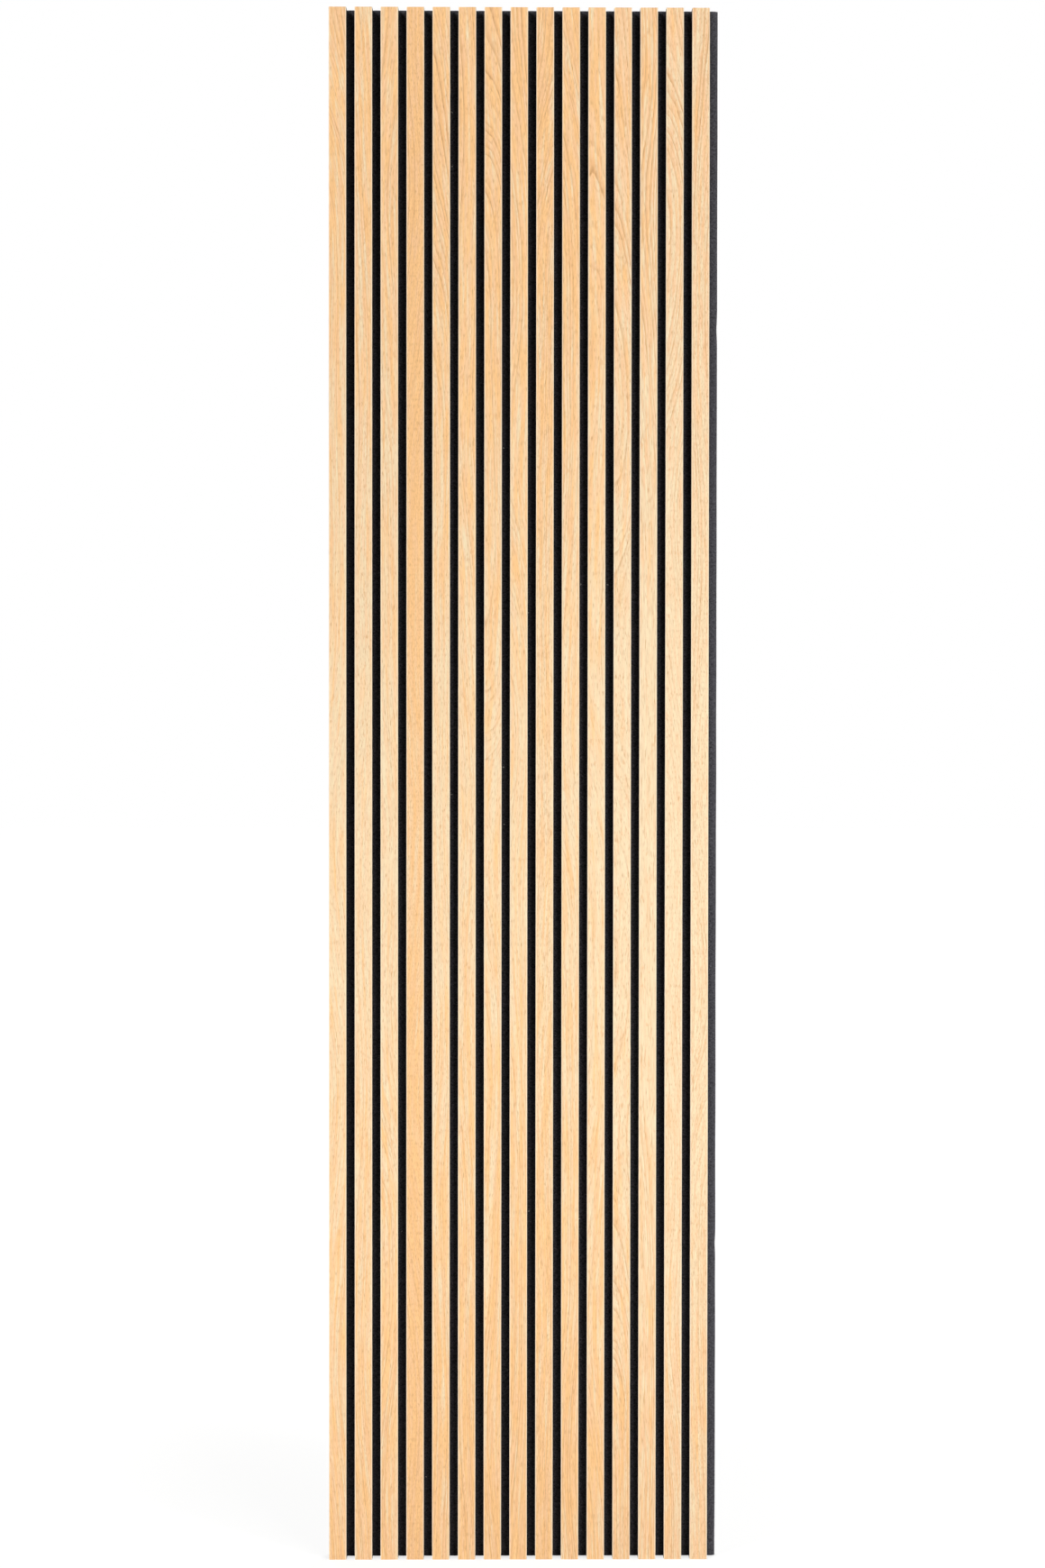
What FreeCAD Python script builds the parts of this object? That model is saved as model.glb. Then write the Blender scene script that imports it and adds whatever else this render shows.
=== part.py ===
import FreeCAD, Part
import os
import sys

import Sketcher

# Acoustic slat wall panel: upright slats of black fibreboard, each faced with oak veneer, fixed side by
# side to one sheet of black polyester felt by glue and by staples driven through the felt from behind.
#
# Millimetres. +X runs across the panel to the right as it is seen from the room, +Z runs up the slats,
# and the room is on the -Y side. The origin is on the wall, at the middle of the felt's lower back edge.

SIZES = {
    "panel_length": ("2400", "slats and felt, top to bottom"),
    "slat_count": ("15", "slats across the panel"),
    "slat_width": ("27", "one slat, side to side"),
    "slat_gap": ("13", "groove between two slats, and the bare felt beside the last one"),
    "core_depth": ("11.4", "fibreboard core, felt to veneer"),
    "veneer_depth": ("0.6", "oak facing on the front of the core"),
    "arris": ("0.25", "sanded chamfer along the veneer's two long edges"),
    "felt_depth": ("9", "felt, wall to slats"),
    "staple_crown": ("12.8", "staple, outside of one leg to outside of the other"),
    "staple_leg": ("14", "staple, outside of the crown to the tips"),
    "staple_bend": ("0.5", "bevel that stands for the bend between crown and leg"),
    "wire_across": ("0.95", "staple wire, along the slat"),
    "wire_through": ("0.65", "staple wire, in the plane of the staple"),
    "staple_sink": ("0.4", "how far the crown is pulled below the back of the felt"),
    "staple_margin": ("45", "end of the slat to its first staple"),
    "staple_spacing": ("330", "most that two staples of one slat may be apart"),
}

# What follows from the sizes, as expressions of the sheet.
PITCH = "(Sizes.slat_width + Sizes.slat_gap)"
PANEL_WIDTH = f"(Sizes.slat_count * {PITCH})"
FELT_FRONT = "(-Sizes.felt_depth)"
CORE_FRONT = "(-Sizes.felt_depth - Sizes.core_depth)"
VENEER_FRONT = "(-Sizes.felt_depth - Sizes.core_depth - Sizes.veneer_depth)"
FIRST_SLAT = f"((Sizes.slat_width - {PANEL_WIDTH}) / 2)"
STAPLED_LENGTH = "(Sizes.panel_length - 2 * Sizes.staple_margin)"
STAPLE_SPANS = f"ceil({STAPLED_LENGTH} / Sizes.staple_spacing)"
STAPLE_REACH = "(Sizes.staple_sink + Sizes.staple_leg)"
CROWN_INSIDE = "(-Sizes.staple_sink - Sizes.wire_through)"

doc = FreeCAD.newDocument("slat_panel")


def make_sheet():
    """The driving dimensions, one row each: name, value, meaning."""
    sheet = doc.addObject("Spreadsheet::Sheet", "Sizes")
    for row, (alias, (value, meaning)) in enumerate(SIZES.items(), start=1):
        sheet.set(f"A{row}", alias)
        sheet.set(f"B{row}", value)
        sheet.set(f"C{row}", meaning)
        sheet.setAlias(f"B{row}", alias)
    doc.recompute()
    return sheet


def new_body(label):
    body = doc.addObject("PartDesign::Body", label)
    body.Label = label
    return body


def datum(body, role):
    """One of the body's own origin planes or axes, such as XY_Plane."""
    return next(feature for feature in body.Origin.OriginFeatures if feature.Role == role)


def outline(body, name, plane, *loops):
    """A sketch of closed loops. Each corner is a pair of expressions, and both are bound to the sheet."""
    sketch = body.newObject("Sketcher::SketchObject", name)
    sketch.AttachmentSupport = [(datum(body, plane), "")]
    sketch.MapMode = "FlatFace"
    for corners in loops:
        places = [FreeCAD.Vector(sketch.evalExpression(x), sketch.evalExpression(y), 0) for x, y in corners]
        first = sketch.GeometryCount
        for here, there in zip(places, places[1:] + places[:1]):
            sketch.addGeometry(Part.LineSegment(here, there), False)
        for side, (x, y) in enumerate(corners):
            line = first + side
            following = first + (side + 1) % len(corners)
            sketch.addConstraint(Sketcher.Constraint("Coincident", line, 2, following, 1))
            for kind, expression, value in (("DistanceX", x, places[side].x), ("DistanceY", y, places[side].y)):
                place = sketch.addConstraint(Sketcher.Constraint(kind, line, 1, value))
                sketch.setExpression(f"Constraints[{place}]", expression)
    return sketch


def rectangle(left, right, near, far):
    """The four corners of an upright rectangle, as expressions."""
    return [(left, near), (right, near), (right, far), (left, far)]


def pad(body, name, sketch, length, midplane=False):
    feature = body.newObject("PartDesign::Pad", name)
    feature.Profile = sketch
    feature.Midplane = midplane
    feature.setExpression("Length", length)
    doc.recompute()
    return feature


def repeat_staples(body, original, across):
    """Repeats a feature at every staple up the slat and, for what spans the panel, at every slat."""
    pattern = body.newObject("PartDesign::LinearPattern", "AtEachStaple")
    pattern.Originals = [original]
    pattern.Refine = False
    pattern.Direction = (datum(body, "Z_Axis"), [""])
    pattern.setExpression("Length", STAPLED_LENGTH)
    pattern.setExpression("Occurrences", f"{STAPLE_SPANS} + 1")
    if across:
        pattern.Direction2 = (datum(body, "X_Axis"), [""])
        pattern.setExpression("Length2", f"(Sizes.slat_count - 1) * {PITCH}")
        pattern.setExpression("Occurrences2", "Sizes.slat_count")
    body.Tip = pattern
    doc.recompute()


def at_first_staple(sketch):
    """Raises a section sketch to the middle of the lowest staple's wire."""
    sketch.setExpression(".AttachmentOffset.Base.z", "Sizes.staple_margin")


def cut_staple_seats(body, slat_centre, across):
    """Cuts the narrow U that each staple presses into: a slot for its crown, a hole for each leg."""
    outer = "Sizes.staple_crown / 2"
    inner = "(Sizes.staple_crown / 2 - Sizes.wire_through)"
    corners = [
        (f"{slat_centre} - {outer}", "0"),
        (f"{slat_centre} - {outer}", f"(-{STAPLE_REACH})"),
        (f"{slat_centre} - {inner}", f"(-{STAPLE_REACH})"),
        (f"{slat_centre} - {inner}", CROWN_INSIDE),
        (f"{slat_centre} + {inner}", CROWN_INSIDE),
        (f"{slat_centre} + {inner}", f"(-{STAPLE_REACH})"),
        (f"{slat_centre} + {outer}", f"(-{STAPLE_REACH})"),
        (f"{slat_centre} + {outer}", "0"),
    ]
    before = body.Shape.Volume
    sketch = outline(body, "SeatOutline", "XY_Plane", corners)
    at_first_staple(sketch)
    seat = body.newObject("PartDesign::Pocket", "StapleSeat")
    seat.Profile = sketch
    seat.Midplane = True
    seat.setExpression("Length", "Sizes.wire_across")
    doc.recompute()
    if not seat.Shape.Volume < before:
        sys.exit(f"{body.Label}: the staple seat cuts nothing")
    repeat_staples(body, seat, across)


def place_on_slat(body, index):
    """Moves a body drawn round x = 0 to its slat."""
    body.setExpression(".Placement.Base.x", f"{FIRST_SLAT} + {index} * {PITCH}")


def make_felt():
    """The needled felt sheet: flush with the first slat, and one groove wider than the last, so that the
    next panel carries the rhythm on. Each staple has a slot for its crown and a hole for each leg."""
    body = new_body("felt_backing")
    half = f"{PANEL_WIDTH} / 2"
    section = outline(body, "FeltSection", "XY_Plane", rectangle(f"-{half}", half, FELT_FRONT, "0"))
    pad(body, "FeltLength", section, "Sizes.panel_length")
    cut_staple_seats(body, FIRST_SLAT, across=True)
    return body


def make_slat_core(index):
    """One strip of black fibreboard, full length, with the blind holes that its staples' legs fill."""
    body = new_body(f"slat_core_{index + 1:02d}")
    half = "Sizes.slat_width / 2"
    section = outline(body, "CoreSection", "XY_Plane", rectangle(f"-{half}", half, CORE_FRONT, FELT_FRONT))
    pad(body, "CoreLength", section, "Sizes.panel_length")
    cut_staple_seats(body, "0", across=False)
    place_on_slat(body, index)
    return body


def make_slat_veneer(index):
    """The oak facing glued to the front of one core, with both long edges eased by sanding."""
    body = new_body(f"slat_veneer_{index + 1:02d}")
    half = "Sizes.slat_width / 2"
    eased_half = "(Sizes.slat_width / 2 - Sizes.arris)"
    eased_front = f"({VENEER_FRONT} + Sizes.arris)"
    corners = [
        (f"-{half}", CORE_FRONT),
        (f"-{half}", eased_front),
        (f"-{eased_half}", VENEER_FRONT),
        (eased_half, VENEER_FRONT),
        (half, eased_front),
        (half, CORE_FRONT),
    ]
    section = outline(body, "VeneerSection", "XY_Plane", corners)
    pad(body, "VeneerLength", section, "Sizes.panel_length")
    place_on_slat(body, index)
    return body


def make_staples():
    """Flat-wire staples with chisel points, crowns level across the slats, one column on each slat."""
    body = new_body("staples")
    body.AllowCompound = True
    outer = "Sizes.staple_crown / 2"
    inner = "(Sizes.staple_crown / 2 - Sizes.wire_through)"
    bend = "(Sizes.staple_crown / 2 - Sizes.staple_bend)"
    crown_back = "(-Sizes.staple_sink)"
    shoulder = "(-Sizes.staple_sink - Sizes.staple_bend)"
    tip = f"(-{STAPLE_REACH})"
    point = f"(-{STAPLE_REACH} + Sizes.wire_through)"
    right_half = [
        (bend, crown_back),
        (outer, shoulder),
        (outer, tip),
        (inner, point),
        (inner, CROWN_INSIDE),
    ]
    left_half = [(f"-{x}", y) for x, y in reversed(right_half)]
    corners = [(f"{FIRST_SLAT} + {x}", y) for x, y in right_half]
    corners += [(f"{FIRST_SLAT} {x}", y) for x, y in left_half]
    profile = outline(body, "StapleOutline", "XY_Plane", corners)
    at_first_staple(profile)
    wire = pad(body, "StapleWire", profile, "Sizes.wire_across", midplane=True)
    repeat_staples(body, wire, across=True)
    return body


def check(nodes):
    """Stops the build if any object failed, or if a node's shape isn't sound."""
    for thing in doc.Objects:
        if {"Invalid", "Error"} & set(thing.State):
            sys.exit(f"{thing.Name} failed: {thing.State}")
    for node in nodes:
        if node.Shape.isNull() or not node.Shape.isValid() or not node.Shape.Solids:
            sys.exit(f"{node.Label} has no sound shape")


sizes = make_sheet()
parts = [make_felt()]
for slat in range(int(sizes.slat_count)):
    parts.append(make_slat_core(slat))
    parts.append(make_slat_veneer(slat))
parts.append(make_staples())
doc.recompute()
check(parts)

os.makedirs("parts", exist_ok=True)
for part in parts:
    part.Shape.exportStep(f"parts/{part.Label}.step")
    print(f"{part.Label}: {len(part.Shape.Solids)} solids, {part.Shape.Volume / 1000:.2f} cm3")
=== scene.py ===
import math
import random

import bmesh
import bpy
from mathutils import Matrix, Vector, noise


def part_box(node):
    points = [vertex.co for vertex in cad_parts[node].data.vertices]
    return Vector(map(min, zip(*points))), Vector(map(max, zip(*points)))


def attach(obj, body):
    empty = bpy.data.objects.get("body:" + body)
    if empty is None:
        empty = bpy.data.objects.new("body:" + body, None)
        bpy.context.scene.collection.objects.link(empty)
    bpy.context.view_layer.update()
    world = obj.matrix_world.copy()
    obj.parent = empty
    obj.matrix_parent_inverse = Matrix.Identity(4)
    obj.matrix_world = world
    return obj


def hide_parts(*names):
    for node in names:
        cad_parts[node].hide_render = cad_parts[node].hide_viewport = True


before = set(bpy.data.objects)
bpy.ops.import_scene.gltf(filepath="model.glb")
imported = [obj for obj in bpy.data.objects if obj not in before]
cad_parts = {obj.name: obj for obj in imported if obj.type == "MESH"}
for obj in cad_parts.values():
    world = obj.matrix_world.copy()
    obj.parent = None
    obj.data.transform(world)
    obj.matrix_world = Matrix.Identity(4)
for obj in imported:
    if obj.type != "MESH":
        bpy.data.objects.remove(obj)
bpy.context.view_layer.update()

# The view
# A straight front view from two and a half metres, at half the panel's height, with the panel filling the
# frame. The camera looks down by half a degree and is turned and rolled by less.
CAMERA_DISTANCE = 2.459
CAMERA_ASIDE = -0.0126
CAMERA_HEIGHT = 1.2287
CAMERA_TURNS = (90 - 0.56, -0.05, -0.279)
felt_low, felt_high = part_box("felt_backing")
panel_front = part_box("slat_veneer_01")[0][1]
panel_width = felt_high[0] - felt_low[0]
panel_height = felt_high[2] - felt_low[2]

camera_data = bpy.data.cameras.new("front_view")
camera_data.lens = 36.52
camera_data.sensor_width = 36.0
camera = bpy.data.objects.new("front_view", camera_data)
camera.location = (CAMERA_ASIDE, panel_front - CAMERA_DISTANCE, CAMERA_HEIGHT)
camera.rotation_euler = [math.radians(degrees) for degrees in CAMERA_TURNS]
bpy.context.collection.objects.link(camera)
bpy.context.scene.camera = camera


# Floor, background and light
# A plain pale floor in a white studio. A broad soft lamp stands to the right of the panel, so each slat
# shades the right of the groove beside it, smaller lamps high and low on both sides even out the oak, and
# two more light the back.
FLOOR_PALE = (0.32, 0.32, 0.315, 1)
FLOOR_HALF = 30.0
WHITE = (1, 1, 1, 1)
ROOM_WARM = (1, 0.98, 0.95, 1)
ROOM_STRENGTH = 0.025


def add_node(tree, kind, inputs=None, **settings):
    """Adds a shader node, sets its properties, and fills its inputs with values or with other outputs."""
    made = tree.nodes.new("ShaderNode" + kind)
    for name, value in settings.items():
        setattr(made, name, value)
    for name, value in (inputs or {}).items():
        if isinstance(value, bpy.types.NodeSocket):
            tree.links.new(value, made.inputs[name])
        else:
            made.inputs[name].default_value = value
    return made


def new_material(name):
    """An empty material and its output node."""
    material = bpy.data.materials.new(name)
    material.use_nodes = True
    material.node_tree.nodes.clear()
    return material, material.node_tree.nodes.new("ShaderNodeOutputMaterial")


def seen_directly(tree):
    """1 for rays from the camera, and for those that come off or through something shiny, else 0."""
    path = add_node(tree, "LightPath")
    straight = add_node(tree, "Math", {0: path.outputs["Is Camera Ray"], 1: path.outputs["Is Glossy Ray"]},
                        operation="MAXIMUM")
    return add_node(tree, "Math", {0: straight.outputs[0], 1: path.outputs["Is Transmission Ray"]},
                    operation="MAXIMUM").outputs[0]


floor_mesh = bpy.data.meshes.new("floor")
floor_bmesh = bmesh.new()
bmesh.ops.create_grid(floor_bmesh, x_segments=1, y_segments=1, size=FLOOR_HALF)
floor_bmesh.to_mesh(floor_mesh)
floor_bmesh.free()
floor = bpy.data.objects.new("floor", floor_mesh)
bpy.context.collection.objects.link(floor)
floor_material, floor_output = new_material("pale_floor")
floor_tree = floor_material.node_tree
floor_matt = add_node(floor_tree, "BsdfDiffuse", {"Color": FLOOR_PALE})
floor_place = add_node(floor_tree, "TexCoord").outputs["Object"]
floor_distance = add_node(floor_tree, "VectorMath", {0: floor_place}, operation="LENGTH").outputs["Value"]

# The floor is a shade under white as far as the panel's soft shadow falls, and white from 4 m out.
SHADOW_REACH = 0.6
WHITE_FROM = 4.0
SHADOWED_FLOOR = 0.76
floor_strength = add_node(floor_tree, "MapRange", {
    0: floor_distance, 1: SHADOW_REACH, 2: WHITE_FROM, 3: SHADOWED_FLOOR, 4: 1.0}).outputs[0]
floor_white = add_node(floor_tree, "Emission", {"Color": WHITE, "Strength": floor_strength})
floor_both = add_node(floor_tree, "AddShader", {0: floor_matt.outputs[0], 1: floor_white.outputs[0]})
floor_mix = add_node(floor_tree, "MixShader", {0: seen_directly(floor_tree), 1: floor_matt.outputs[0],
                                               2: floor_both.outputs[0]})
floor_tree.links.new(floor_mix.outputs[0], floor_output.inputs["Surface"])
floor_mesh.materials.append(floor_material)

world = bpy.data.worlds.new("studio")
bpy.context.scene.world = world
world.use_nodes = True
world_tree = world.node_tree
world_tree.nodes.clear()
room_light = add_node(world_tree, "Background", {"Color": ROOM_WARM, "Strength": ROOM_STRENGTH})
white_card = add_node(world_tree, "Background", {"Color": WHITE, "Strength": 1.0})
world_mix = add_node(world_tree, "MixShader", {0: seen_directly(world_tree), 1: room_light.outputs[0],
                                               2: white_card.outputs[0]})
add_node(world_tree, "OutputWorld", {"Surface": world_mix.outputs[0]})


def soft_lamp(name, place, target, width, height, power):
    """A rectangular lamp that faces the target."""
    data = bpy.data.lights.new(name, "AREA")
    data.shape = "RECTANGLE"
    data.size = width
    data.size_y = height
    data.energy = power
    lamp = bpy.data.objects.new(name, data)
    lamp.location = place
    lamp.rotation_euler = (Vector(target) - Vector(place)).to_track_quat("-Z", "Y").to_euler()
    bpy.context.collection.objects.link(lamp)


panel_middle = (0.0, 0.0, panel_height / 2)
soft_lamp("key_lamp", (2.05, -1.75, 1.0), (-0.2, 0.0, 0.85), width=2.2, height=0.5, power=51)
soft_lamp("right_lamp_high", (2.2, -1.3, 3.2), (-0.2, 0.0, 3.2), width=0.5, height=1.0, power=33)
soft_lamp("right_lamp_floor", (1.6, -0.9, 0.2), (-0.2, 0.0, -0.4), width=0.35, height=0.4, power=5.5)
soft_lamp("left_lamp_high", (-2.4, -1.5, 4.2), (0.3, 0.0, 4.0), width=0.5, height=1.2, power=96)
soft_lamp("left_lamp_low", (-3.7, -2.55, 0.35), (0.3, 0.0, -0.8), width=0.6, height=0.6, power=69)
soft_lamp("left_lamp_floor", (-2.0, -1.25, 0.25), (0.2, 0.0, -0.3), width=0.35, height=0.4, power=22)
soft_lamp("rear_lamp_right", (1.8, 2.4, 1.9), panel_middle, width=1.4, height=1.4, power=60)
soft_lamp("rear_lamp_left", (-2.0, 2.2, 1.4), panel_middle, width=1.0, height=1.4, power=30)

bpy.context.scene.view_settings.view_transform = "Standard"


# Slats, oak facing
# A strip of flat-cut oak veneer, 0.6 mm thick, is glued to the front of each slat's core, sanded until its
# two long edges are just eased, and given a matt clear finish. No two strips come from the same place in
# the log, so the rings lean and arch differently on every slat.
SLAT_PITCH = 0.040
SLAT_WIDTH = 0.027
first_slat_edge = felt_low[0]
slat_count = round(panel_width / SLAT_PITCH)


def calc(tree, operation, *values):
    """One arithmetic step on values that change over the surface."""
    return add_node(tree, "Math", dict(enumerate(values)), operation=operation).outputs[0]


def blend_colours(tree, amount, under, over):
    """Lays one colour over another by a mask."""
    return add_node(tree, "Mix", {0: amount, 6: under, 7: over}, data_type="RGBA").outputs[2]


def ramp(tree, value, low, high, smooth=True):
    """0 below low, 1 above high, and an even climb between."""
    kind = "SMOOTHSTEP" if smooth else "LINEAR"
    return add_node(tree, "MapRange", {0: value, 1: low, 2: high, 3: 0.0, 4: 1.0},
                    interpolation_type=kind).outputs[0]


def cloud(tree, x, y, z, detail=0.0, roughness=0.5):
    """Soft noise from 0 to 1, one blob to a unit along each of three stretched axes."""
    place = add_node(tree, "CombineXYZ", {0: x, 1: y, 2: z}).outputs[0]
    return add_node(tree, "TexNoise", {"Vector": place, "Scale": 1.0, "Detail": detail,
                                       "Roughness": roughness}).outputs["Fac"]


def place_xyz(tree):
    """Each point's three coordinates, in metres."""
    return add_node(tree, "SeparateXYZ", {0: add_node(tree, "TexCoord").outputs["Object"]}).outputs


def start_group(name, outputs):
    """An empty node group with the outputs named, each a value or a colour."""
    tree = bpy.data.node_groups.new(name, "ShaderNodeTree")
    for label, kind in outputs.items():
        tree.interface.new_socket(label, in_out="OUTPUT", socket_type="NodeSocket" + kind)
    return tree, tree.nodes.new("NodeGroupOutput")


def use_group(tree, group):
    """The outputs of a node group placed in a material."""
    made = tree.nodes.new("ShaderNodeGroup")
    made.node_tree = group
    return made.outputs


slat_place, slat_place_out = start_group("slat_place", {
    "Number": "Float", "Across": "Float", "Along": "Float", "Depth": "Float", "End": "Float"})
slat_coordinates = add_node(slat_place, "TexCoord")
slat_xyz = add_node(slat_place, "SeparateXYZ", {0: slat_coordinates.outputs["Object"]}).outputs
slat_normal = add_node(slat_place, "SeparateXYZ", {0: slat_coordinates.outputs["Normal"]}).outputs
from_first_slat = calc(slat_place, "SUBTRACT", slat_xyz[0], first_slat_edge)
slat_number = calc(slat_place, "FLOOR", calc(slat_place, "DIVIDE", from_first_slat, SLAT_PITCH))
slat_middle = calc(slat_place, "MULTIPLY_ADD", slat_number, SLAT_PITCH, first_slat_edge + SLAT_WIDTH / 2)
slat_across = calc(slat_place, "SUBTRACT", slat_xyz[0], slat_middle)
slat_end = calc(slat_place, "GREATER_THAN", calc(slat_place, "ABSOLUTE", slat_normal[2]), 0.5)
for slat_label, slat_value in (("Number", slat_number), ("Across", slat_across), ("Along", slat_xyz[2]),
                               ("Depth", slat_xyz[1]), ("End", slat_end)):
    slat_place.links.new(slat_value, slat_place_out.inputs[slat_label])

oak, oak_output = new_material("oak_veneer")
oak_tree = oak.node_tree
oak_at = use_group(oak_tree, slat_place)
across_mm = calc(oak_tree, "MULTIPLY", oak_at["Across"], 1000)
along_mm = calc(oak_tree, "MULTIPLY", oak_at["Along"], 1000)
LOG_SEED = 1003.0
log_key = calc(oak_tree, "ADD", oak_at["Number"], LOG_SEED)
log_draw = add_node(oak_tree, "TexWhiteNoise", {"W": log_key}, noise_dimensions="1D")
log_draws = add_node(oak_tree, "SeparateColor", {0: log_draw.outputs["Color"]}).outputs
strip_key = calc(oak_tree, "MULTIPLY_ADD", oak_at["Number"], 13.7, 5.0)


def one_slat(number):
    """1 on one of the slats, counted from the left, and 0 on the others."""
    return calc(oak_tree, "COMPARE", oak_at["Number"], number - 1, 0.5)


# Rings: the distance of each point from the heart of the log, which lies behind the veneer and to the left
# of most strips, and wanders along them. The log tapers and flares, so the rings lean, most of all near
# the top. Three of the slats were cut further out on the heart's other side, where the rings run nearly
# straight. All lengths in the oak are in millimetres.
RING_SPACING = 2.3
HEART_NEAREST = 17
HEART_SPREAD = 30
OTHER_SIDE = -72
WANDER_LENGTH = 480
WANDER_REACH = 56
HEART_DEPTH = 84
LOG_TAPER = 0.010
TOP_FLARE = 26
RIPPLE_REACH = 1.4
cut_further_out = calc(oak_tree, "ADD", calc(oak_tree, "ADD", one_slat(4), one_slat(9)), one_slat(15))
heart_side = calc(oak_tree, "MULTIPLY_ADD", log_draws[0], HEART_SPREAD, HEART_NEAREST)
heart_side = calc(oak_tree, "MULTIPLY_ADD", cut_further_out, OTHER_SIDE, heart_side)
wander_place = calc(oak_tree, "DIVIDE", along_mm, WANDER_LENGTH)
heart_wander = calc(oak_tree, "SUBTRACT", cloud(oak_tree, strip_key, wander_place, 1.5), 0.5)
heart_wander = calc(oak_tree, "MULTIPLY", heart_wander, WANDER_REACH)
from_heart = calc(oak_tree, "ADD", calc(oak_tree, "ADD", across_mm, heart_side), heart_wander)
heart_depth = calc(oak_tree, "MULTIPLY", cloud(oak_tree, strip_key, wander_place, 7.5), HEART_DEPTH)
heart_depth = calc(oak_tree, "MULTIPLY_ADD", along_mm, LOG_TAPER, heart_depth)
heart_depth = calc(oak_tree, "MULTIPLY_ADD", ramp(oak_tree, along_mm, 1900, 2500), TOP_FLARE, heart_depth)
ring_radius = calc(oak_tree, "SQRT", calc(
    oak_tree, "ADD", calc(oak_tree, "MULTIPLY", from_heart, from_heart),
    calc(oak_tree, "MULTIPLY", heart_depth, heart_depth)))
ripple = cloud(oak_tree, calc(oak_tree, "DIVIDE", across_mm, 9), calc(oak_tree, "DIVIDE", along_mm, 60),
               strip_key, detail=2.0)
ring_radius = calc(oak_tree, "MULTIPLY_ADD", calc(oak_tree, "SUBTRACT", ripple, 0.5), RIPPLE_REACH,
                   ring_radius)
uneven_years = cloud(oak_tree, calc(oak_tree, "DIVIDE", ring_radius, 11), strip_key, 3.3)
ring_count = calc(oak_tree, "ADD", calc(oak_tree, "DIVIDE", ring_radius, RING_SPACING),
                  calc(oak_tree, "MULTIPLY", uneven_years, 3.0))
ring_mm = calc(oak_tree, "MULTIPLY", ring_count, RING_SPACING)
year_part = calc(oak_tree, "FRACT", ring_count)
year = calc(oak_tree, "ADD", calc(oak_tree, "FLOOR", ring_count),
            calc(oak_tree, "MULTIPLY", strip_key, 3.1))
year_draw = add_node(oak_tree, "TexWhiteNoise", {"W": year}, noise_dimensions="1D").outputs["Value"]
year_start = ramp(oak_tree, year_part, 0.0, 0.10)
spring_wood = calc(oak_tree, "MULTIPLY", year_start,
                   calc(oak_tree, "SUBTRACT", 1.0, ramp(oak_tree, year_part, 0.10, 0.38)))
ring_line = calc(oak_tree, "MULTIPLY", spring_wood, calc(
    oak_tree, "MULTIPLY_ADD", calc(oak_tree, "MULTIPLY", year_draw, year_draw), 0.85, 0.15))
season_tone = calc(oak_tree, "MULTIPLY", year_start,
                   calc(oak_tree, "SUBTRACT", 1.0, ramp(oak_tree, year_part, 0.10, 0.95)))
season_tone = calc(oak_tree, "MULTIPLY", season_tone, year_draw)

# Fibres run up the strip and lean a little with the rings. Soft streaks two or three millimetres wide lie
# under sparse rust-brown dashes, most of them in rows along the rings, and under the finest open pores.
# Each kind has its own distance in the noise from the strip's key, so no two follow each other.
fibre_lean = calc(oak_tree, "MULTIPLY_ADD", cut_further_out, -1.0, 0.5)
fibre_mm = calc(oak_tree, "MULTIPLY_ADD", heart_wander, 0.4, calc(oak_tree, "MULTIPLY", across_mm, 0.8))
fibre_mm = calc(oak_tree, "MULTIPLY_ADD", ring_radius, fibre_lean, fibre_mm)
grain_mm = calc(oak_tree, "DIVIDE", along_mm, calc(oak_tree, "MULTIPLY_ADD", log_draws[1], 0.9, 0.8))
short_streaks = cloud(oak_tree, calc(oak_tree, "DIVIDE", fibre_mm, 1.9),
                      calc(oak_tree, "DIVIDE", grain_mm, 17), strip_key, detail=1.0)
long_streaks = cloud(oak_tree, calc(oak_tree, "DIVIDE", fibre_mm, 2.8),
                     calc(oak_tree, "DIVIDE", ring_mm, 3.0),
                     calc(oak_tree, "ADD", calc(oak_tree, "DIVIDE", along_mm, 80), strip_key), detail=1.0)
streaks = calc(oak_tree, "MULTIPLY", calc(oak_tree, "ADD", short_streaks, long_streaks), 0.5)
ring_breaks = cloud(oak_tree, calc(oak_tree, "DIVIDE", fibre_mm, 3.5),
                    calc(oak_tree, "DIVIDE", grain_mm, 30),
                    calc(oak_tree, "ADD", strip_key, 40.0), detail=1.0)
broken_line = calc(oak_tree, "MULTIPLY", ring_line, calc(
    oak_tree, "MULTIPLY_ADD", ramp(oak_tree, ring_breaks, 0.38, 0.58), 0.75, 0.25))
vessels = cloud(oak_tree, calc(oak_tree, "MULTIPLY", fibre_mm, 2.6),
                calc(oak_tree, "DIVIDE", grain_mm, 5.5), calc(oak_tree, "ADD", strip_key, 80.0))
vessel = calc(oak_tree, "MULTIPLY", ramp(oak_tree, vessels, 0.60, 0.70),
              calc(oak_tree, "MULTIPLY_ADD", broken_line, 0.7, 0.3))
between_vessels = calc(oak_tree, "ADD", ramp(oak_tree, vessels, 0.36, 0.64), 0.3)
dashes = cloud(oak_tree, fibre_mm, calc(oak_tree, "DIVIDE", grain_mm, 10),
               calc(oak_tree, "ADD", strip_key, 60.0))
dash = calc(oak_tree, "MULTIPLY", ramp(oak_tree, dashes, 0.56, 0.76),
            calc(oak_tree, "MULTIPLY_ADD", broken_line, 0.5, 0.5))
dash = calc(oak_tree, "MULTIPLY", dash, between_vessels)
blemishes = cloud(oak_tree, calc(oak_tree, "DIVIDE", fibre_mm, 5), calc(oak_tree, "DIVIDE", along_mm, 14),
                  calc(oak_tree, "ADD", strip_key, 110.0), detail=1.0)
blemish = ramp(oak_tree, blemishes, 0.62, 0.78)
dots = cloud(oak_tree, fibre_mm, calc(oak_tree, "DIVIDE", along_mm, 5.0),
             calc(oak_tree, "ADD", strip_key, 90.0))
dot = calc(oak_tree, "MULTIPLY", ramp(oak_tree, dots, 0.56, 0.72), between_vessels)
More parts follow.
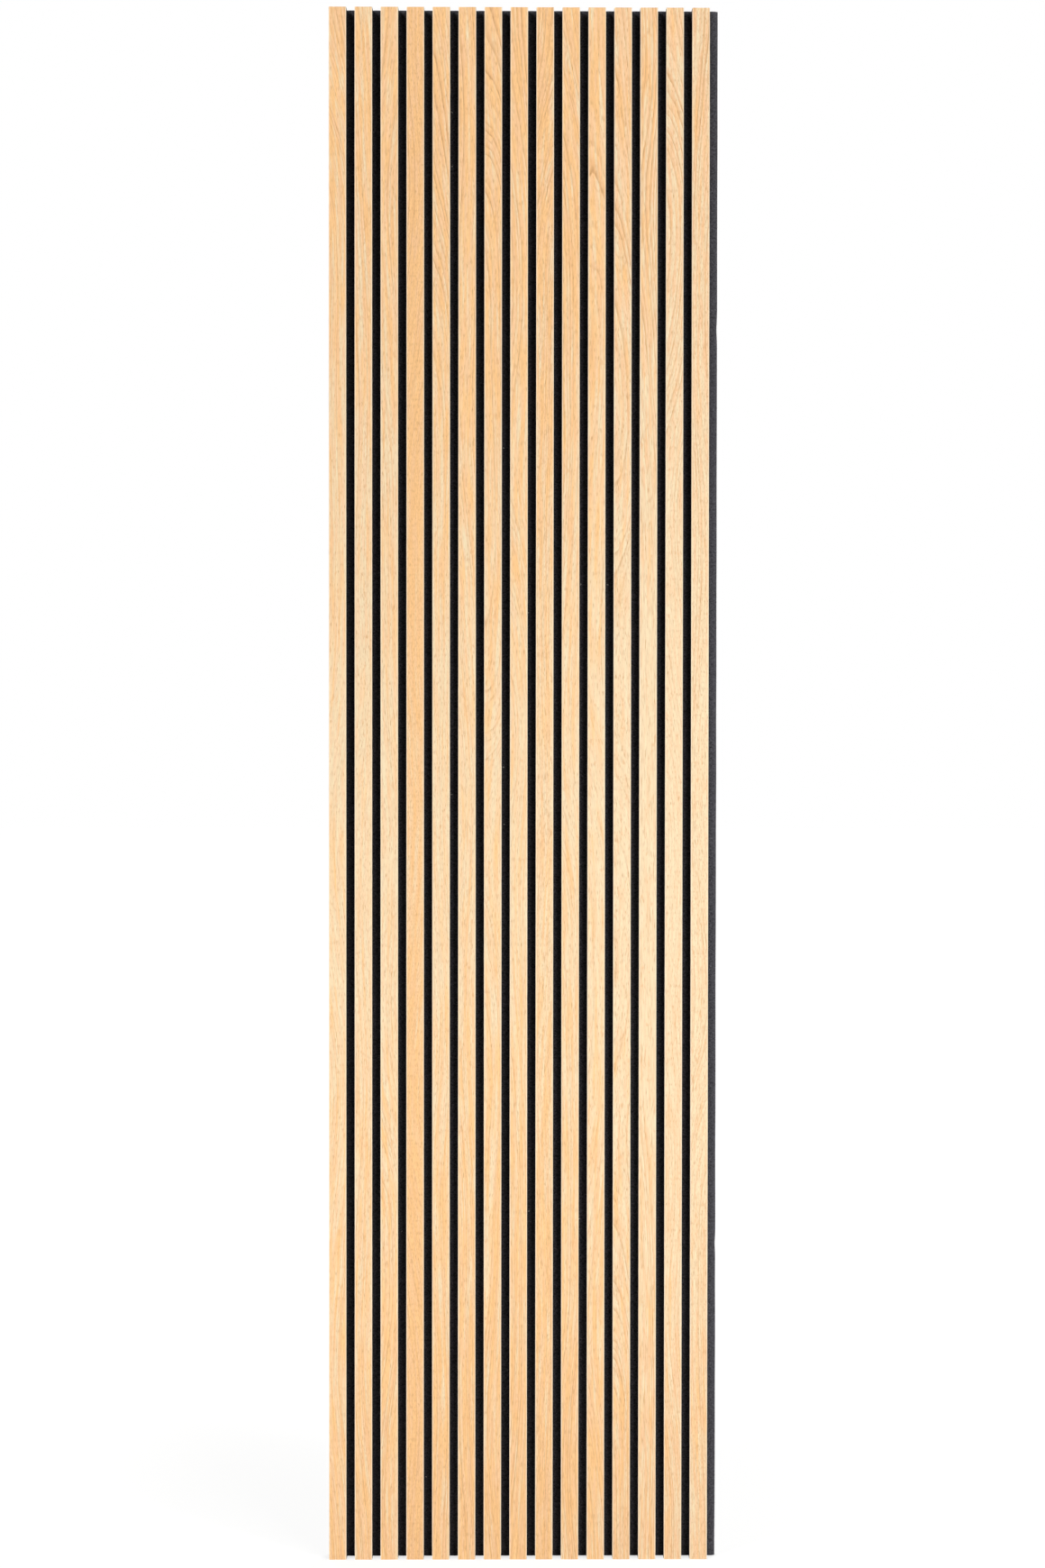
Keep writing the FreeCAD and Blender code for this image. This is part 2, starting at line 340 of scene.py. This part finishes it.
dot = calc(oak_tree, "MULTIPLY", dot, calc(oak_tree, "MULTIPLY_ADD", cut_further_out, 0.8, 0.12))

# Colour: pale wood, darker tan in the streaks and on the rings, with bands that turn to gold or to rose.
# The oak is painted palest just under half its height, a painted pool of light, and the grain is painted
# bolder and warmer towards both ends, and bolder still near the foot, as painted shade where the light
# falls off. Some slats are warmer than the first three, some cooler.
OAK_PALE = (0.872, 0.724, 0.484, 1)
OAK_GOLD = (0.945, 0.590, 0.272, 1)
OAK_ROSE = (0.925, 0.610, 0.362, 1)
OAK_TAN = (0.765, 0.412, 0.180, 1)
OAK_RUST = (0.570, 0.285, 0.112, 1)
OAK_PORE = (0.450, 0.215, 0.085, 1)
# The next colour is a painted highlight along the long edges of each slat's face.
OAK_EDGE_HIGHLIGHT = (0.945, 0.810, 0.620, 1)
SLAT_GOLD = ((4, 0.26), (5, 0.05), (6, 0.09), (7, 0.09), (8, 0.10), (9, 0.10), (10, 0.08), (11, 0.04),
             (12, -0.13), (13, -0.21), (14, -0.31), (15, -0.28))
# The share of the height where the painted pool of light on the oak is palest.
PAINTED_LIGHT_SHARE = 0.48
painted_light_mm = 1000 * panel_height * PAINTED_LIGHT_SHARE
gold_along = calc(oak_tree, "ADD", calc(oak_tree, "DIVIDE", along_mm, 120), strip_key)
gold_bands = cloud(oak_tree, calc(oak_tree, "DIVIDE", fibre_mm, 6), calc(oak_tree, "DIVIDE", ring_mm, 8),
                   gold_along, detail=1.0)
rose_along = calc(oak_tree, "ADD", calc(oak_tree, "DIVIDE", along_mm, 65),
                  calc(oak_tree, "ADD", strip_key, 21.0))
rose_bands = cloud(oak_tree, calc(oak_tree, "DIVIDE", fibre_mm, 5), calc(oak_tree, "DIVIDE", ring_mm, 7),
                   rose_along, detail=1.0)
# Painted light: the oak is paler around this height, and painted darker, bolder and warmer towards both
# ends as painted shade.
from_painted_light = calc(oak_tree, "ABSOLUTE", calc(oak_tree, "SUBTRACT", along_mm, painted_light_mm))
ends_painted_shade = ramp(oak_tree, from_painted_light, 0, 1150)
near_foot = calc(oak_tree, "SUBTRACT", 1.0, ramp(oak_tree, along_mm, 0, 420))
gold = calc(oak_tree, "MULTIPLY_ADD", calc(oak_tree, "SUBTRACT", gold_bands, 0.5),
            calc(oak_tree, "MULTIPLY_ADD", ends_painted_shade, 0.9, 1.0),
            calc(oak_tree, "MULTIPLY_ADD", ends_painted_shade, 0.31, 0.5))
for slat_index, slat_gold in SLAT_GOLD:
    gold = calc(oak_tree, "MULTIPLY_ADD", one_slat(slat_index), slat_gold, gold)
gold = calc(oak_tree, "MULTIPLY_ADD", calc(oak_tree, "MULTIPLY", one_slat(4), ends_painted_shade), 0.30, gold)
oak_colour = blend_colours(oak_tree, ramp(oak_tree, gold, 0.42, 0.96), OAK_PALE, OAK_GOLD)
rose = calc(oak_tree, "MULTIPLY", ramp(oak_tree, rose_bands, 0.44, 0.62),
            calc(oak_tree, "MULTIPLY_ADD", ends_painted_shade, 0.35, 0.38))
oak_colour = blend_colours(oak_tree, rose, oak_colour, OAK_ROSE)
oak_colour = blend_colours(oak_tree, calc(oak_tree, "MULTIPLY", one_slat(4), 0.14), oak_colour, OAK_TAN)
boldness = calc(oak_tree, "MULTIPLY_ADD", ends_painted_shade, 0.45, 0.85)
boldness = calc(oak_tree, "MULTIPLY_ADD", near_foot, 0.30, boldness)
streak_tone = calc(oak_tree, "MULTIPLY", ramp(oak_tree, streaks, 0.38, 0.70, smooth=False), 0.38)
oak_colour = blend_colours(oak_tree, calc(oak_tree, "MULTIPLY", streak_tone, boldness), oak_colour, OAK_TAN)
season_tone = calc(oak_tree, "MULTIPLY", season_tone, calc(oak_tree, "MULTIPLY_ADD", ends_painted_shade, 0.45, 0.12))
oak_colour = blend_colours(oak_tree, season_tone, oak_colour, OAK_TAN)
line_tone = calc(oak_tree, "MULTIPLY", broken_line, calc(oak_tree, "MULTIPLY_ADD", ends_painted_shade, 0.40, 0.35))
oak_colour = blend_colours(oak_tree, line_tone, oak_colour, OAK_RUST)
oak_colour = blend_colours(oak_tree, calc(oak_tree, "MULTIPLY", blemish, 0.45), oak_colour, OAK_TAN)
oak_colour = blend_colours(oak_tree, calc(oak_tree, "MULTIPLY", dash, 0.95), oak_colour, OAK_RUST)
oak_colour = blend_colours(oak_tree, calc(oak_tree, "MULTIPLY", dot, 0.42), oak_colour, OAK_RUST)
oak_colour = blend_colours(oak_tree, calc(oak_tree, "MULTIPLY", vessel, 0.25), oak_colour, OAK_PORE)
# Painted highlight: a pale line painted along both long edges of each slat's face.
edge_distance = calc(oak_tree, "SUBTRACT", 1000 * SLAT_WIDTH / 2, calc(oak_tree, "ABSOLUTE", across_mm))
painted_edge_highlight = calc(oak_tree, "SUBTRACT", 1.0, ramp(oak_tree, edge_distance, 0.8, 1.8))
oak_colour = blend_colours(oak_tree, calc(oak_tree, "MULTIPLY", painted_edge_highlight, 0.62), oak_colour, OAK_EDGE_HIGHLIGHT)
oak_colour = blend_colours(oak_tree, calc(oak_tree, "MULTIPLY", oak_at["End"], 0.75), oak_colour, OAK_TAN)
oak_height = calc(oak_tree, "SUBTRACT", calc(oak_tree, "MULTIPLY", streaks, 0.25), vessel)
oak_bump = add_node(oak_tree, "Bump", {"Strength": 0.35, "Distance": 0.0001, "Height": oak_height})
oak_shader = add_node(oak_tree, "BsdfPrincipled", {
    "Base Color": oak_colour, "Roughness": calc(oak_tree, "MULTIPLY_ADD", streaks, 0.12, 0.52),
    "Specular IOR Level": 0.3, "Normal": oak_bump.outputs[0]})
oak_tree.links.new(oak_shader.outputs[0], oak_output.inputs["Surface"])


def finish_node(name, material):
    """Gives a node of the frame its real finish."""
    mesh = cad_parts[name].data
    for number in range(len(mesh.materials)):
        mesh.materials[number] = material


for slat_index in range(slat_count):
    finish_node(f"slat_veneer_{slat_index + 1:02d}", oak)


# Slats, black core
# Each core is a strip ripped from board that is dyed black right through, so its sawn flanks and ends need
# no paint. The saw leaves fine lines along the flanks and paler torn fibres.
fibreboard, fibreboard_output = new_material("black_fibreboard")
board_tree = fibreboard.node_tree
board_at = use_group(board_tree, slat_place)
board_across = calc(board_tree, "MULTIPLY", board_at["Across"], 1000)
board_along = calc(board_tree, "MULTIPLY", board_at["Along"], 1000)
board_depth = calc(board_tree, "MULTIPLY", board_at["Depth"], 1000)
saw_lines = cloud(board_tree, calc(board_tree, "MULTIPLY", board_depth, 4.0),
                  calc(board_tree, "DIVIDE", board_along, 60),
                  calc(board_tree, "MULTIPLY", board_across, 4.0), detail=3.0, roughness=0.65)
board_fibres = cloud(board_tree, calc(board_tree, "MULTIPLY", board_across, 2.2),
                     calc(board_tree, "MULTIPLY", board_along, 1.3),
                     calc(board_tree, "MULTIPLY", board_depth, 2.2), detail=4.0, roughness=0.7)
BOARD_BLACK = (0.0075, 0.0062, 0.0055, 1)
BOARD_BROWN = (0.034, 0.023, 0.017, 1)
BOARD_TORN = (0.075, 0.058, 0.047, 1)
board_colour = blend_colours(board_tree, ramp(board_tree, saw_lines, 0.25, 0.75), BOARD_BLACK, BOARD_BROWN)
torn_fibres = calc(board_tree, "MULTIPLY", ramp(board_tree, board_fibres, 0.60, 0.78), 0.6)
board_colour = blend_colours(board_tree, torn_fibres, board_colour, BOARD_TORN)
board_bump = add_node(board_tree, "Bump", {"Strength": 0.5, "Distance": 0.0002, "Height": calc(
    board_tree, "ADD", saw_lines, board_fibres)})
board_shader = add_node(board_tree, "BsdfPrincipled", {
    "Base Color": board_colour, "Roughness": calc(board_tree, "MULTIPLY_ADD", saw_lines, 0.15, 0.80),
    "Specular IOR Level": 0.1, "Normal": board_bump.outputs[0]})
board_tree.links.new(board_shader.outputs[0], fibreboard_output.inputs["Surface"])
for slat_index in range(slat_count):
    finish_node(f"slat_core_{slat_index + 1:02d}", fibreboard)


# Felt backing
# One stiff sheet of black polyester fibre, needled until it is 9 mm thick, then cut to size with a blade
# that left the free right edge a little uneven. It swells by a fraction of a millimetre in the grooves,
# where no slat presses it, and each staple pulls a dimple into its back.
FELT_SEED = 11
FELT_BULGE = 0.0004
FELT_LUMPS = 0.0002
FELT_OVERHANG = 0.0008
FELT_WAVE = 0.0004
FELT_ROLL_WIDTH = 0.0066
FELT_ROLL_DEPTH = 0.0014
FELT_RIM = 0.0006
RIM_ANGLE = 1.0
FELT_ROW_STEP = 0.02
GROOVE_STRIPS = 6
STAPLE_ROWS = 8
STAPLE_WIRE_HALF = 0.0005
CROWN_HALF = 0.0064
DIMPLE_HALF_WIDTH = 0.013
DIMPLE_HALF_HEIGHT = 0.0075
DIMPLE_DEPTH = 0.00078
DIMPLE_SPREAD = 0.0028
DIMPLE_CUTS = 11
DIMPLE_MARGIN = 1e-5
NEAR_STAPLE = 1e-4
SAME_PLACE = 1e-6

# Dents in the free edge: height, depth and spread.
EDGE_DENTS = ((1.910, 0.0009, 0.016), (0.489, 0.0008, 0.012), (0.020, 0.0006, 0.050))
DENT_ROW_STEP = 0.005
DENT_ROWS = 6
DENT_REACH = 0.034

random.seed(FELT_SEED)
felt_front = felt_low[1]
groove_width = SLAT_PITCH - SLAT_WIDTH
staple_columns = [first_slat_edge + SLAT_WIDTH / 2 + number * SLAT_PITCH for number in range(slat_count)]
staple_low, staple_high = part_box("staples")
staple_bottom = staple_low[2] + STAPLE_WIRE_HALF
staple_span = staple_high[2] - STAPLE_WIRE_HALF - staple_bottom
staple_heights = [staple_bottom + number * staple_span / (STAPLE_ROWS - 1) for number in range(STAPLE_ROWS)]


def felt_column_lines():
    """Where the sheet is divided from left to right: slat edges, dimples and six strips to a groove."""
    lines = []
    for middle in staple_columns:
        lines += [middle - SLAT_WIDTH / 2, middle - DIMPLE_HALF_WIDTH, middle + DIMPLE_HALF_WIDTH]
        groove_left = middle + SLAT_WIDTH / 2
        lines += [groove_left + groove_width * step / GROOVE_STRIPS for step in range(GROOVE_STRIPS)]
    return lines + [felt_high[0]]


def rolled_back(x):
    """How far the felt's front lies back near its free right edge."""
    return FELT_ROLL_DEPTH * max(0.0, 1 - (felt_high[0] - x) / FELT_ROLL_WIDTH) ** 2


def even_steps(start, end):
    """Lines about two centimetres apart, up to the end."""
    steps = max(1, round((end - start) / FELT_ROW_STEP))
    return [start + (end - start) * step / steps for step in range(1, steps + 1)]


def felt_row_lines():
    """Where the sheet is divided from bottom to top: either side of each row of dimples, between the
    rows, and more closely at the two sharp dents."""
    lines = [felt_low[2]]
    for height in staple_heights:
        lines += even_steps(lines[-1], height - DIMPLE_HALF_HEIGHT)
        lines.append(height + DIMPLE_HALF_HEIGHT)
    lines += even_steps(lines[-1], felt_high[2])
    for height, _, _ in EDGE_DENTS[:2]:
        lines = [line for line in lines if abs(line - height) > DENT_REACH]
        lines += [height + DENT_ROW_STEP * step for step in range(-DENT_ROWS, DENT_ROWS + 1)]
    return sorted(lines)


felt_bmesh = bmesh.new()
row_lines = felt_row_lines()
row_vertices = [felt_bmesh.verts.new((x, felt_high[1], felt_low[2])) for x in felt_column_lines()]
row_edges = [felt_bmesh.edges.new(pair) for pair in zip(row_vertices, row_vertices[1:])]
for below, above in zip(row_lines, row_lines[1:]):
    made = bmesh.ops.extrude_edge_only(felt_bmesh, edges=row_edges)["geom"]
    raised = [item for item in made if isinstance(item, bmesh.types.BMVert)]
    bmesh.ops.translate(felt_bmesh, verts=raised, vec=(0, 0, above - below))
    row_edges = [item for item in made if isinstance(item, bmesh.types.BMEdge)
                 and abs(item.verts[0].co.z - item.verts[1].co.z) < SAME_PLACE]
made = bmesh.ops.extrude_face_region(felt_bmesh, geom=list(felt_bmesh.faces))["geom"]
front_vertices = [item for item in made if isinstance(item, bmesh.types.BMVert)]
bmesh.ops.translate(felt_bmesh, verts=front_vertices, vec=(0, felt_front - felt_high[1], 0))
bmesh.ops.recalc_face_normals(felt_bmesh, faces=felt_bmesh.faces)

# The grooves swell, and the bare strip rolls off to the free right edge. That edge was cut a little out of
# true, is dented in two places and worn at the foot.
for vertex in front_vertices:
    inside = ((vertex.co.x - first_slat_edge) % SLAT_PITCH - SLAT_WIDTH) / groove_width
    if 0.01 < inside < 0.99:
        lumps = noise.noise(Vector((vertex.co.x * 60, 3.0, vertex.co.z * 35)))
        vertex.co.y -= FELT_BULGE * (1 - (2 * inside - 1) ** 2) + FELT_LUMPS * lumps
    vertex.co.y += rolled_back(vertex.co.x)
for vertex in felt_bmesh.verts:
    if vertex.co.x > felt_high[0] - SAME_PLACE:
        wave = noise.noise(Vector((vertex.co.z * 9, 2.5, vertex.co.y * 40)))
        vertex.co.x += FELT_OVERHANG + FELT_WAVE * wave
        for height, deep, spread in EDGE_DENTS:
            vertex.co.x -= deep * math.exp(-((vertex.co.z - height) / spread) ** 2)


def nearest(value, places):
    """How far a value is from the nearest of some places."""
    return min(abs(value - place) for place in places)


# Each staple's dimple is a finer patch of the back.
dimple_faces = [face for face in felt_bmesh.faces if face.normal.y > 0.9
                and nearest(face.calc_center_median().x, staple_columns) < NEAR_STAPLE
                and nearest(face.calc_center_median().z, staple_heights) < NEAR_STAPLE]
dimple_edges = list({edge for face in dimple_faces for edge in face.edges})
bmesh.ops.subdivide_edges(felt_bmesh, edges=dimple_edges, cuts=DIMPLE_CUTS, use_grid_fill=True)
for vertex in felt_bmesh.verts:
    if vertex.co.y > felt_high[1] - SAME_PLACE:
        beside = nearest(vertex.co.x, staple_columns)
        over = nearest(vertex.co.z, staple_heights)
        if beside < DIMPLE_HALF_WIDTH - DIMPLE_MARGIN and over < DIMPLE_HALF_HEIGHT - DIMPLE_MARGIN:
            away = math.hypot(max(0.0, beside - CROWN_HALF), over)
            vertex.co.y -= DIMPLE_DEPTH * math.exp(-(away / DIMPLE_SPREAD) ** 2)
rim_edges = [edge for edge in felt_bmesh.edges if edge.calc_face_angle(0) > RIM_ANGLE]
bmesh.ops.bevel(felt_bmesh, geom=rim_edges, offset=FELT_RIM, segments=2, affect="EDGES", profile=0.5,
                material=-1)
felt_mesh = bpy.data.meshes.new("felt_sheet")
felt_bmesh.to_mesh(felt_mesh)
felt_bmesh.free()
felt_mesh.shade_smooth()
felt_mesh.set_sharp_from_angle(angle=math.radians(35))
felt_sheet = bpy.data.objects.new("felt_sheet", felt_mesh)
bpy.context.collection.objects.link(felt_sheet)

# Its finish: black and grey fibres in clumps, with paler ones across them in three directions.
felt, felt_output = new_material("black_felt")
felt_tree = felt.node_tree
felt_xyz = place_xyz(felt_tree)
felt_x = calc(felt_tree, "MULTIPLY", felt_xyz[0], 1000)
felt_y = calc(felt_tree, "MULTIPLY", felt_xyz[1], 1000)
felt_z = calc(felt_tree, "MULTIPLY", felt_xyz[2], 1000)
FELT_BLACK = (0.040, 0.0385, 0.044, 1)
FELT_GREY = (0.094, 0.091, 0.103, 1)
FELT_FLECK = (0.200, 0.198, 0.218, 1)
felt_clumps = cloud(felt_tree, calc(felt_tree, "DIVIDE", felt_x, 3), calc(felt_tree, "DIVIDE", felt_z, 3),
                    calc(felt_tree, "DIVIDE", felt_y, 3), detail=3.0, roughness=0.7)
fibre_bend = cloud(felt_tree, calc(felt_tree, "DIVIDE", felt_x, 5), calc(felt_tree, "DIVIDE", felt_z, 5),
                   calc(felt_tree, "DIVIDE", felt_y, 5), detail=1.0)
felt_hairs = 0.0
for fibre_angle in (15, 75, 135):
    fibre_cos = math.cos(math.radians(fibre_angle))
    fibre_sin = math.sin(math.radians(fibre_angle))
    lengthways = calc(felt_tree, "MULTIPLY_ADD", felt_x, fibre_cos,
                      calc(felt_tree, "MULTIPLY", felt_z, fibre_sin))
    crossways = calc(felt_tree, "MULTIPLY_ADD", felt_z, fibre_cos,
                     calc(felt_tree, "MULTIPLY", felt_x, -fibre_sin))
    crossways = calc(felt_tree, "MULTIPLY_ADD", fibre_bend, 7.0, crossways)
    one_way = cloud(felt_tree, calc(felt_tree, "DIVIDE", lengthways, 4.0),
                    calc(felt_tree, "MULTIPLY", crossways, 2.4),
                    calc(felt_tree, "MULTIPLY_ADD", felt_y, 2.4, fibre_angle))
    felt_hairs = calc(felt_tree, "MAXIMUM", felt_hairs, one_way)
felt_batches = cloud(felt_tree, calc(felt_tree, "DIVIDE", felt_x, 120),
                     calc(felt_tree, "DIVIDE", felt_z, 260),
                     calc(felt_tree, "DIVIDE", felt_y, 60), detail=4.0, roughness=0.65)
felt_tone = calc(felt_tree, "MULTIPLY_ADD", calc(felt_tree, "SUBTRACT", felt_batches, 0.5), 0.8,
                 ramp(felt_tree, felt_clumps, 0.31, 0.69))
felt_colour = blend_colours(felt_tree, felt_tone, FELT_BLACK, FELT_GREY)
pale_hairs = calc(felt_tree, "MULTIPLY", ramp(felt_tree, felt_hairs, 0.62, 0.80), 0.5)
felt_colour = blend_colours(felt_tree, pale_hairs, felt_colour, FELT_FLECK)
felt_bump = add_node(felt_tree, "Bump", {"Strength": 0.6, "Distance": 0.0006, "Height": calc(
    felt_tree, "ADD", felt_hairs, felt_clumps)})
felt_shader = add_node(felt_tree, "BsdfPrincipled", {
    "Base Color": felt_colour, "Roughness": 1.0, "Specular IOR Level": 0.0, "Sheen Weight": 0.04,
    "Sheen Roughness": 0.5, "Normal": felt_bump.outputs[0]})
felt_tree.links.new(felt_shader.outputs[0], felt_output.inputs["Surface"])
felt_mesh.materials.append(felt)
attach(felt_sheet, "root")
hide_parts("felt_backing")


# Felt, loose fibres and lint
# Single fibres stand out of the felt wherever it was cut, and a few lie on its faces. Some pale lint has
# caught in the grooves, at the places that the photograph shows.
THREAD_POINTS = 4
THREAD_BEND = 2.2
THREAD_SINK = 0.0001
BOX_MARGIN = 0.0001
BEHIND_AT_MOST = 0.0004

# The fibres of each kind: how many, the shortest and longest, and how far they stand off.
FIBRE_THICKNESS = 0.00007
EDGE_FIBRES = 1100
EDGE_LENGTHS = (0.001, 0.004)
EDGE_RISES = (0.0003, 0.0011)
END_FIBRES = 900
END_LENGTHS = (0.001, 0.003)
END_RISE = 0.0001
GROOVE_FIBRES = 700
GROOVE_LENGTHS = (0.001, 0.004)
GROOVE_RISES = (0.0002, 0.0009)
BACK_FIBRES = 900
BACK_LENGTHS = (0.002, 0.006)
BACK_RISES = (0.0002, 0.0007)

# The least distance of their roots from the felt's ends, its free edge, and the edges of a cut face.
END_MARGIN = 0.001
FREE_EDGE_MARGIN = 0.002
FACE_MARGIN = 0.0003


def new_threads(name, thickness):
    """A curve whose splines become threads of one thickness."""
    curve = bpy.data.curves.new(name, "CURVE")
    curve.dimensions = "3D"
    curve.bevel_depth = thickness / 2
    curve.bevel_resolution = 0
    curve.use_fill_caps = True
    return curve


def add_thread(curve, root, outward, along, length, rise):
    """A thread that leaves its root, bends over and ends lying along the surface."""
    spline = curve.splines.new("POLY")
    spline.points.add(THREAD_POINTS - 1)
    sideways = outward.cross(along) * random.uniform(-0.5, 0.5)
    for number, point in enumerate(spline.points):
        part = number / (THREAD_POINTS - 1)
        place = root + (along + sideways * part) * (length * part)
        place += outward * (rise * math.sin(THREAD_BEND * part) - THREAD_SINK)
        place.x = max(place.x, felt_low[0] + BOX_MARGIN)
        place.y = min(place.y, BEHIND_AT_MOST)
        place.z = min(max(place.z, BOX_MARGIN), panel_height - BOX_MARGIN)
        point.co = (*place, 1)


def finish_threads(curve, material):
    """Turns a curve's threads into one mesh object on the felt."""
    drawn = bpy.data.objects.new(curve.name + "_drawn", curve)
    threads = bpy.data.objects.new(curve.name, bpy.data.meshes.new_from_object(drawn))
    bpy.data.objects.remove(drawn)
    threads.data.materials.append(material)
    bpy.context.collection.objects.link(threads)
    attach(threads, "root")


fibres = new_threads("felt_fibres", FIBRE_THICKNESS)
lowest = felt_low[2] + END_MARGIN
highest = felt_high[2] - END_MARGIN
free_edge = felt_high[0] + FELT_OVERHANG - FELT_WAVE
for _ in range(EDGE_FIBRES):
    edge_height = random.uniform(lowest, highest)
    edge_depth = random.uniform(felt_front + FELT_ROLL_DEPTH + FACE_MARGIN, -FACE_MARGIN)
    root = Vector((free_edge, edge_depth, edge_height))
    lean = Vector((0, random.uniform(-1, 1), random.uniform(-1, 1))).normalized()
    add_thread(fibres, root, Vector((1, 0, 0)), lean, random.uniform(*EDGE_LENGTHS),
               random.uniform(*EDGE_RISES))
for _ in range(END_FIBRES):
    upward = random.choice((-1, 1))
    root = Vector((random.uniform(felt_low[0], felt_high[0] - FREE_EDGE_MARGIN),
                   random.uniform(felt_front + FACE_MARGIN, -FACE_MARGIN),
                   felt_high[2] if upward > 0 else felt_low[2]))
    root.y = max(root.y, felt_front + rolled_back(root.x))
    lean = Vector((random.uniform(-1, 1), random.uniform(-1, 1), 0)).normalized()
    add_thread(fibres, root, Vector((0, 0, upward)), lean, random.uniform(*END_LENGTHS), END_RISE)
for _ in range(GROOVE_FIBRES):
    groove_left = first_slat_edge + SLAT_WIDTH + random.randrange(slat_count) * SLAT_PITCH
    root = Vector((groove_left + random.uniform(0.001, groove_width - 0.002),
                   felt_front - FELT_BULGE * 0.6, random.uniform(lowest, highest)))
    root.y += rolled_back(root.x)
    lean = Vector((random.uniform(-0.4, 0.4), 0, random.uniform(-1, 1))).normalized()
    add_thread(fibres, root, Vector((0, -1, 0)), lean, random.uniform(*GROOVE_LENGTHS),
               random.uniform(*GROOVE_RISES))
for _ in range(BACK_FIBRES):
    root = Vector((random.uniform(felt_low[0], felt_high[0] - FREE_EDGE_MARGIN), 0.0,
                   random.uniform(lowest, highest)))
    lean = Vector((random.uniform(-1, 1), 0, random.uniform(-1, 1))).normalized()
    add_thread(fibres, root, Vector((0, 1, 0)), lean, random.uniform(*BACK_LENGTHS),
               random.uniform(*BACK_RISES))
finish_threads(fibres, felt)

lint_wool, lint_output = new_material("lint")
lint_tree = lint_wool.node_tree
lint_xyz = place_xyz(lint_tree)
lint_tone = cloud(lint_tree, *[calc(lint_tree, "MULTIPLY", value, 900) for value in lint_xyz], detail=2.0)
LINT_WHITE = (0.80, 0.79, 0.74, 1)
LINT_GREY = (0.42, 0.41, 0.40, 1)
lint_shader = add_node(lint_tree, "BsdfPrincipled", {
    "Base Color": blend_colours(lint_tree, lint_tone, LINT_GREY, LINT_WHITE), "Roughness": 0.9,
    "Specular IOR Level": 0.1})
lint_tree.links.new(lint_shader.outputs[0], lint_output.inputs["Surface"])
LINT_THICKNESS = 0.00055
LINT_THREADS = 4
LINT_LENGTHS = (0.0008, 0.0018)
LINT_RISE = 0.0008
LINT_PLACES = ((0.0085, 1.470), (0.0885, 0.528), (-0.1100, 2.243), (-0.1102, 2.160), (-0.1106, 1.188),
               (-0.0300, 1.231), (-0.0286, 1.142), (-0.0301, 1.725), (0.0099, 0.540), (0.0899, 1.514),
               (0.1314, 1.514), (-0.1875, 0.508), (-0.1501, 0.124))
lint = new_threads("lint", LINT_THICKNESS)
for lint_x, lint_z in LINT_PLACES:
    root = Vector((lint_x, felt_front - FELT_BULGE, lint_z))
    for _ in range(LINT_THREADS):
        lean = Vector((random.uniform(-1, 1), 0, random.uniform(-1, 1))).normalized()
        add_thread(lint, root, Vector((0, -1, 0)), lean, random.uniform(*LINT_LENGTHS), LINT_RISE)
finish_threads(lint, lint_wool)


# Staples
# Galvanised flat wire, bent square and driven from behind through the felt into each core, eight to a
# slat. Only the crowns show, in their dimples.
steel, steel_output = new_material("staple_steel")
steel_tree = steel.node_tree
steel_xyz = place_xyz(steel_tree)
spangle = cloud(steel_tree, *[calc(steel_tree, "MULTIPLY", value, 2200) for value in steel_xyz], detail=2.0)
STEEL_BRIGHT = (0.43, 0.42, 0.41, 1)
STEEL_DULL = (0.24, 0.24, 0.24, 1)
steel_colour = blend_colours(steel_tree, ramp(steel_tree, spangle, 0.35, 0.70), STEEL_BRIGHT, STEEL_DULL)
steel_shader = add_node(steel_tree, "BsdfPrincipled", {
    "Base Color": steel_colour, "Metallic": 1.0,
    "Roughness": calc(steel_tree, "MULTIPLY_ADD", spangle, 0.3, 0.30)})
steel_tree.links.new(steel_shader.outputs[0], steel_output.inputs["Surface"])
finish_node("staples", steel)
